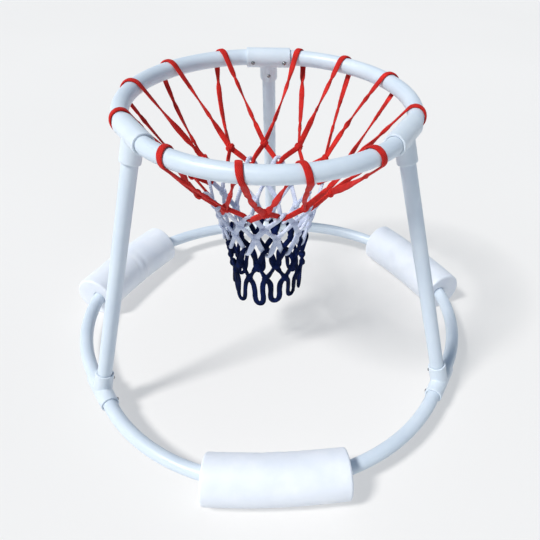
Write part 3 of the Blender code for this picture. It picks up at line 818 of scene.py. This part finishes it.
def twisting(along, twists):
    """How far a cord has turned at a place along it, and how much it is pinched."""
    turn, pinch = 0.0, 0.0
    for place, span, way in twists:
        share = min(max((along - place) / span + 0.5, 0), 1)
        turn += way * pi * (3 * share ** 2 - 2 * share ** 3)
        pinch += exp(-((along - place) / (PINCH_REACH * span)) ** 2)
    return turn, min(pinch, 1)


class Braid:
    """Cords and knots of one colour, gathered into one mesh."""

    def __init__(self, width, thickness, seed):
        self.verts, self.faces, self.weave = [], [], []
        self.width, self.thickness = width, thickness
        self.rng = random.Random(seed)

    def add(self, rings, weave, closed):
        """Takes in a skin, with each vertex's place across and along the cord."""
        base = len(self.verts)
        verts, faces = swept(rings, closed)
        self.verts += verts
        self.faces += [tuple(base + number for number in face) for face in faces]
        self.weave += weave

    def sheath(self, points, normals, twists=(), closed=False, wide=1.0, thick=1.0):
        """A flat cord along points. Each twist is a place, a span and a way, where it turns half round."""
        width, thickness = self.width * wide, self.thickness * thick
        lengths = distances(points)
        phase = self.rng.uniform(0, 100)
        rings, weave = [], []
        for index, point in enumerate(points):
            along = lengths[index]
            tangent = tangent_at(points, index, closed)
            across = tangent.cross(normals[index]).normalized()
            normal = across.cross(tangent).normalized()
            turn, pinch = twisting(along, twists)
            wave = noise.noise(Vector((along * WAVE_PACE + phase, phase, 0)))
            turn += SLOW_TURN * noise.noise(Vector((along * SLOW_PACE, phase, SLOW_ROW)))
            half_width = width / 2 * (1 + WAVE_WIDTH * wave - PINCH_NARROW * pinch)
            half_thick = thickness / 2 * (1 - WAVE_THICK * wave + PINCH_THICK * pinch)
            if not closed:
                taper = min(1.0, CORD_END_SHARE + min(along, lengths[-1] - along) / width)
                half_width *= taper
                half_thick *= taper
            a = cos(turn) * across + sin(turn) * normal
            b = -sin(turn) * across + cos(turn) * normal
            rings.append([point + a * (x * half_width) + b * (y * half_thick) for x, y in SECTION])
            weave += [(x * half_width, along) for x, y in SECTION]
        self.add(rings, weave, closed)

    def cord(self, control, normals, twist_count=0, gathered=0.0):
        """A cord on a smooth curve through its control points, gathered where it hooks another."""
        points, spread = smooth_curve(control, normals)
        total = distances(points)[-1]
        twists = [(total / 2, gathered, 0)] if gathered else []
        for index in range(twist_count):
            place = total * (index + self.rng.uniform(*TWIST_PLACE)) / twist_count
            twists.append((place, self.rng.uniform(*TWIST_LENGTH), self.rng.choice((-1, 1))))
        self.sheath(points, spread, twists)

    def knot(self, centre, out, size):
        """A tied lump: a core with two bands wound aslant round it."""
        side = UP.cross(out).normalized()
        top = out.cross(side).normalized()
        wide, tall, deep = size
        rings = []
        for step in range(1, CORE_STEPS):
            angle = pi * step / CORE_STEPS
            ring = []
            for turn in turns(CORE_RING):
                point = centre + top * (-cos(angle) * tall * CORE_TALL)
                point += side * (sin(angle) * cos(turn) * wide * CORE_WIDE)
                ring.append(point + out * (sin(angle) * sin(turn) * deep * CORE_DEEP))
            rings.append(ring)
        weave = [((point - centre).dot(side), (point - centre).dot(top)) for ring in rings for point in ring]
        self.add(rings, weave, closed=False)
        for tilt, grow in BAND_TILTS:
            tilt += self.rng.uniform(-BAND_LOOSE, BAND_LOOSE)
            axis = side * cos(tilt) + top * sin(tilt)
            other = -side * sin(tilt) + top * cos(tilt)
            reach_axis, reach_out = wide * BAND_WIDE * grow, deep * BAND_DEEP * grow
            points, normals = [], []
            for turn in turns(BAND_STEPS):
                point = centre + axis * (cos(turn) * reach_axis) + out * (sin(turn) * reach_out)
                point += other * (BAND_WAVE * sin(2 * turn))
                points.append(point)
                normal = axis * cos(turn) / reach_axis + out * sin(turn) / reach_out
                normals.append(normal.normalized())
            self.sheath(points, normals, closed=True, wide=0.72, thick=0.8)

    def piece(self, name, material):
        mesh = outward_mesh(name, self.verts, self.faces)
        layer = mesh.attributes.new("weave", "FLOAT_VECTOR", "POINT")
        layer.data.foreach_set("vector", [value for pair in self.weave for value in (*pair, 0.0)])
        return add_piece(name, mesh, material, sharp=70)


# A red loop on the rim: its clearance, steps, and how far it slants along the rim
WRAP_CLEAR, WRAP_STEPS, WRAP_SLANT = 0.0001, 22, 0.011
# Its two hanging ends: shares of the way to the knot, and how far each has turned outward
END_SHARES, END_FACING, END_LIFT = (0.16, 0.4, 0.7, 1.0), (0.2, 0.6, 1.0, 1.0), 0.08
END_ASIDE, END_SAG = (-0.006, 0.006), (-0.007, -0.001)
# Their twists: how many, how far from knot and rim, how likely, where and how long
END_TWISTS, END_CLEAR, END_CHANCE = 2, 0.012, 0.85
END_TWIST_PLACE, END_TWIST_LENGTH = (0.25, 0.75), (0.020, 0.032)


def rim_wrap(place, knots, clear, side):
    """The part of a red loop on the rim, as points and normals, and the angle it turns."""
    middle, tangent, outward = place
    angles = []
    for knot, sign in zip(knots, (-1, 1)):
        flat = Vector(((knot - middle).dot(outward), (knot - middle).z))
        towards = atan2(flat.y, flat.x)
        angles.append(towards + sign * acos(clear / flat.length))
    first, last = angles[0] + 2 * pi, angles[1]
    points, normals = [], []
    for index in range(WRAP_STEPS + 1):
        share = index / WRAP_STEPS
        angle = first + (last - first) * share
        normal = outward * cos(angle) + UP * sin(angle)
        points.append(middle + normal * clear + tangent * (side * WRAP_SLANT * (share - 0.5)))
        normals.append(normal)
    return points, normals, first - last


def hanging_end(braid, start, normal, knot, tangent):
    """A red loop's end from the rim to its knot, as points and normals."""
    way = knot - start
    aside = tangent * braid.rng.uniform(*END_ASIDE) + UP * braid.rng.uniform(*END_SAG)
    out = Vector((knot.x, knot.y - MIDDLE_Y, END_LIFT)).normalized()
    points = [start + way * share + aside * sin(pi * share) for share in END_SHARES]
    return points, [normal.lerp(out, share).normalized() for share in END_FACING]


def rim_loop(braid, number):
    """A red loop over the rim: one end over the top to a knot, the other away below."""
    turned = number >= FIRST_TURNED
    spacing = len(TEES) * RIM.side / LOOPS
    place = ring_place(RIM, spacing * (number + 0.5) + LOOP_SLIDES[number])
    tangent = place[1]
    over, under = (net_point("red_knots", 2 * number + step) for step in ((2, 0) if turned else (0, 2)))
    clear = RIM_R + braid.thickness / 2 + WRAP_CLEAR
    wrap, normals, angle = rim_wrap(place, (over, under), clear, -1 if turned else 1)
    first, first_facing = hanging_end(braid, wrap[0], normals[0], over, tangent)
    last, last_facing = hanging_end(braid, wrap[-1], normals[-1], under, tangent)
    points, spread = smooth_curve(first[::-1] + wrap + last, first_facing[::-1] + normals + last_facing)
    total = distances(points)[-1]
    wrap_half = clear * angle / 2 + END_CLEAR
    twists = []
    for low, high in ((END_CLEAR, total / 2 - wrap_half), (total / 2 + wrap_half, total - END_CLEAR)):
        for index in range(END_TWISTS):
            along = low + (high - low) * (index + braid.rng.uniform(*END_TWIST_PLACE)) / END_TWISTS
            if braid.rng.random() < END_CHANCE:
                twists.append((along, braid.rng.uniform(*END_TWIST_LENGTH), braid.rng.choice((-1, 1))))
    braid.sheath(points, spread, twists)


HOOK_DEEP, HOOK_WIDE, HOOK_ASIDE, HOOK_GATHER = 0.0052, 0.0064, 0.62, 0.034
# Half of a hook's bend: shares of its width, depth and step aside
HOOK_SHARES = [(1.25, -0.6, 1.0), (0.95, 0.25, 1.0), (0.6, 0.85, 0.8), (0.22, 1.08, 0.3)]


def hooked(braid, row, middle, knot_row, hang):
    """A cord from one knot round the bend of the next colour and back to another knot.
    hang is 1 below its knots and -1 above them."""
    centre = net_point(row, middle)
    knots = [net_point(knot_row, middle - 1), net_point(knot_row, middle + 1)]
    across = (knots[1] - knots[0]).normalized()
    upward = ((knots[0] + knots[1]) / 2 - centre).normalized() * hang
    normal = across.cross(upward).normalized()
    step = braid.thickness * HOOK_ASIDE
    control = [knots[0]]
    for sign, shares in ((-1, HOOK_SHARES), (1, HOOK_SHARES[::-1])):
        for wide, deep, aside in shares:
            point = centre + across * (sign * wide * HOOK_WIDE) - upward * (hang * deep * HOOK_DEEP)
            control.append(point + normal * (sign * hang * aside * step))
    control.append(knots[1])
    braid.cord(control, [away(centre)] * len(control), gathered=HOOK_GATHER)


STRAIGHT_SHARES, STRAIGHT_BOW = (0.35, 0.7), (0.0, 0.003)


def straight(braid, upper_row, upper, lower_row, lower):
    """A cord between knots of two rows, bowed outward a little."""
    top, bottom = net_point(upper_row, upper), net_point(lower_row, lower)
    facing = Vector((top.x + bottom.x - 2 * SWING, top.y + bottom.y - 2 * MIDDLE_Y, 0)).normalized()
    bow = facing * braid.rng.uniform(*STRAIGHT_BOW)
    control = [top] + [top.lerp(bottom, share) + bow for share in STRAIGHT_SHARES] + [bottom]
    braid.cord(control, [facing] * len(control), twist_count=braid.rng.choice((0, 0, 1)))


TAIL_DROP, TAIL_SLOPE, TAIL_BEND, TAIL_GROW = (-0.002, 0.006), 0.16, (-0.006, 0.004), (0.8, 1.15)
# Half of a tail loop: shares of its width and drop
TAIL_SHARES = [(0.62, 0.22), (0.50, 0.5), (0.52, 0.76), (0.40, 0.93), (0.16, 1.0)]


def tail_loop(braid, middle):
    """An open loop that hangs from two knots of the lowest row."""
    centre = net_point("tails", middle)
    knots = [net_point("blue_lower", middle - 1), net_point("blue_lower", middle + 1)]
    across = (knots[1] - knots[0]) / 2
    top = (knots[0] + knots[1]) / 2
    facing = away(top)
    centre += UP * (braid.rng.uniform(*TAIL_DROP) + TAIL_SLOPE * max(centre.x, 0))
    bend = facing * braid.rng.uniform(*TAIL_BEND)
    grow = braid.rng.uniform(*TAIL_GROW)
    control = [knots[0]]
    for sign, shares in ((-1, TAIL_SHARES), (1, TAIL_SHARES[::-1])):
        for wide, drop in shares:
            control.append(top.lerp(centre, drop) + across * (sign * wide * grow) + bend * drop)
    control.append(knots[1])
    braid.cord(control, [facing] * len(control), twist_count=braid.rng.choice((0, 1)))


RED_KNOT = (0.0165, 0.0150, 0.0110)
WHITE_KNOT = (0.0145, 0.0135, 0.0100)
BLUE_KNOT = (0.0140, 0.0130, 0.0100)
KNOT_GROW = (0.9, 1.12)


def tie(braid, row, parity, size):
    """Knots at every other place of a row."""
    for number in range(LOOPS):
        centre = net_point(row, 2 * number + parity)
        grow = braid.rng.uniform(*KNOT_GROW)
        braid.knot(centre, away(centre), [value * grow for value in size])


def build_net():
    red = Braid(width=0.0112, thickness=0.0038, seed=11)
    white = Braid(width=0.0106, thickness=0.0048, seed=12)
    blue = Braid(width=0.0114, thickness=0.0048, seed=13)
    for number in range(LOOPS):
        even, odd = 2 * number, 2 * number + 1
        rim_loop(red, number)
        hooked(red, "red_white", odd, "red_knots", 1)
        hooked(white, "red_white", odd, "white_upper", -1)
        straight(white, "white_upper", even, "white_lower", odd)
        straight(white, "white_upper", even + 2, "white_lower", odd)
        hooked(white, "white_blue", even, "white_lower", 1)
        hooked(blue, "white_blue", even, "blue_upper", -1)
        straight(blue, "blue_upper", odd, "blue_lower", even)
        straight(blue, "blue_upper", odd, "blue_lower", even + 2)
        tail_loop(blue, odd)
    tie(red, "red_knots", 0, RED_KNOT)
    tie(white, "white_upper", 0, WHITE_KNOT)
    tie(white, "white_lower", 1, WHITE_KNOT)
    tie(blue, "blue_upper", 1, BLUE_KNOT)
    tie(blue, "blue_lower", 0, BLUE_KNOT)
    for colour, braid in (("red", red), ("white", white), ("blue", blue)):
        piece = braid.piece(f"net_{colour}_cords", CORDS[colour])
        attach(piece, "frame")
        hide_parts(f"net_{colour}")


# Tubes, fittings, sleeves, buttons and springs

FOAM_SEED = 20


def put(name, mesh, material, matrix, body, node):
    """A rigid piece in place, from a copy of its mesh."""
    piece = add_piece(name, mesh.copy(), material, matrix)
    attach(piece, body)
    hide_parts(node)
    return piece


def build_frame():
    for label, ring in RINGS.items():
        mesh = bent_pipe(ring, f"{label}_pipe")
        for side, azimuth in BENDS.items():
            at = level_matrix(azimuth, ring.offset, ring.height)
            put(f"{label}_pipe_{side}", mesh, PVC, at, "frame", f"{label}_tube_{side}")
    for index, (side, azimuth) in enumerate(BENDS.items()):
        mesh, at = float_mesh(side, FOAM_SEED + index), level_matrix(azimuth, BASE.offset, BASE_Z)
        piece = put(f"foam_sleeve_{side}", mesh, FOAM, at, f"float_{side}", f"float_{side}")
    tees = {"rim": tee_mesh("rim_tee", RIM_R, -1), "base": tee_mesh("base_tee", BASE_R, 1)}
    post = straight_pipe("post_pipe")
    for side, azimuth in TEES.items():
        for label, ring in RINGS.items():
            at = leg_matrix(azimuth, ring.tee, ring.height)
            put(f"{label}_fitting_{side}", tees[label], FITTING, at, "frame", f"{label}_tee_{side}")
        at = leg_matrix(azimuth, (RIM.tee + BASE.tee) / 2, (RIM_Z + BASE_Z) / 2)
        put(f"post_pipe_{side}", post, PVC, at, "frame", f"upright_{side}")


def bent_leaf(name, mesh, matrix, tube_radius, node):
    """A folded leaf spring in place in its tube, with its transform baked in."""
    piece = add_piece(name, mesh.copy(), SPRING, matrix)
    upper, lower = leaf_heights(tube_radius)
    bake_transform(piece)
    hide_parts(node)


def build_buttons():
    face_in = Matrix.Rotation(radians(-90), 4, "Y")
    for label, ring, sign in (("rim", RIM, -1), ("base", BASE, 1)):
        # Way into the tube, distance from the tee's middle, the tube's radius
        spots = {
            "cw": (-Y_AXIS, RUN_BUTTON, ring.tube_radius),
            "ccw": (Y_AXIS, RUN_BUTTON, ring.tube_radius),
            "post": (sign * UP, POST_BUTTON, POST_R),
        }
        for spot, (deeper, reach, tube_radius) in spots.items():
            pin = button_mesh(f"{label}_{spot}_pin", tube_radius)
            leaf = leaf_mesh(f"{label}_{spot}_leaf", tube_radius)
            leaf_turn = Matrix((deeper, INWARD.cross(deeper), INWARD)).transposed().to_4x4()
            for side, azimuth in TEES.items():
                at = leg_matrix(azimuth, ring.tee, ring.height) @ Matrix.Translation(deeper * reach)
                node = f"button_{label}_{side}_{spot}"
                put(f"snap_pin_{label}_{side}_{spot}", pin, STEEL, at @ face_in, node, node)
                spring = f"spring_{label}_{side}_{spot}"
                bent_leaf(f"leaf_{spring}", leaf, at @ leaf_turn, tube_radius, spring)


# The stage, the light and the camera

FLOOR_HALF, FLOOR_DROP = 30, 0.0004
# The sky's colours by height: 1 is straight above
SKY = [(0.04, (0.80, 0.81, 0.83)), (0.2, (0.42, 0.48, 0.55)), (0.42, (0.15, 0.205, 0.27))]
LAMP_DISTANCE, LAMP_TARGET = 3.0, Vector((0, 0, 0.3))

# The viewpoint, fitted to the tube edges, tees and floats, in radians and pixels
YAW, PITCH, ROLL = 0.0934, 0.7265, 0.0442
FOCAL, PRINCIPAL_X, PRINCIPAL_Y, PICTURE = 575.53, 310.94, 315.69, 540
SENSOR, NEAR, FAR = 36, 0.05, 100
# Its place from the rim's middle
EYE_X, EYE_Y, EYE_Z = -0.0049, -0.968, 0.3825


def build_stage():
    corners = ((-1, -1), (1, -1), (1, 1), (-1, 1))
    verts = [Vector((FLOOR_HALF * x, FLOOR_HALF * y, 0)) for x, y in corners]
    mesh = outward_mesh("floor", verts, [(0, 1, 2, 3)])
    if mesh.polygons[0].normal.z < 0:
        mesh.flip_normals()
    pale = floor_material("pale_floor", shade=(0.37, 0.365, 0.36), light=(0.40, 0.395, 0.39), glow=0.46)
    stage = add_piece("studio_floor", mesh, pale)
    stage.location.z = -FLOOR_DROP


def build_sky():
    world = bpy.data.worlds.new("studio")
    bpy.context.scene.world = world
    world.use_nodes = True
    tree = world.node_tree
    split = tree.nodes.new("ShaderNodeSeparateXYZ")
    tree.links.new(tree.nodes.new("ShaderNodeTexCoord").outputs["Generated"], split.inputs[0])
    sky = tree.nodes.new("ShaderNodeValToRGB")
    tree.links.new(split.outputs["Z"], sky.inputs["Fac"])
    fill_ramp(sky.color_ramp.elements, SKY)
    tree.links.new(sky.outputs["Color"], tree.nodes["Background"].inputs["Color"])


def lamp(name, kind, energy, towards, **settings):
    """A lamp in a direction from the part, shining back at it."""
    data = bpy.data.lights.new(name, kind)
    data.energy = energy
    for key, value in settings.items():
        setattr(data, key, value)
    item = linked(name, data)
    way = Vector(towards).normalized()
    item.location = way * LAMP_DISTANCE + LAMP_TARGET
    item.rotation_mode = "QUATERNION"
    item.rotation_quaternion = (-way).to_track_quat("-Z", "Y")


def build_lights():
    build_sky()
    lamp("key_sun", "SUN", 3.3, (-0.52, -0.28, 0.80), angle=radians(12), color=(1.0, 0.98, 0.95))
    lamp("soft_top", "AREA", 4, (0.2, 0.1, 1.0), shape="DISK", size=3.0, color=(0.95, 0.97, 1.0))


def build_camera():
    forward = Vector((sin(YAW) * cos(PITCH), cos(YAW) * cos(PITCH), -sin(PITCH)))
    level = Vector((cos(YAW), -sin(YAW), 0))
    above = level.cross(forward)
    right = level * cos(ROLL) + above * sin(ROLL)
    top = -level * sin(ROLL) + above * cos(ROLL)
    data = bpy.data.cameras.new("photo_camera")
    data.sensor_width = SENSOR
    data.lens = SENSOR * FOCAL / PICTURE
    data.shift_x = (PICTURE / 2 - PRINCIPAL_X) / PICTURE
    data.shift_y = (PRINCIPAL_Y - PICTURE / 2) / PICTURE
    data.clip_start, data.clip_end = NEAR, FAR
    item = linked("photo_camera", data)
    turn = Matrix((right, top, -forward)).transposed().to_4x4()
    item.matrix_world = Matrix.Translation((EYE_X, EYE_Y + MIDDLE_Y, RIM_Z + EYE_Z)) @ turn
    bpy.context.scene.camera = item


build_camera()
build_frame()
build_buttons()
build_net()
build_stage()
build_lights()
bpy.context.scene.view_settings.view_transform = "Standard"
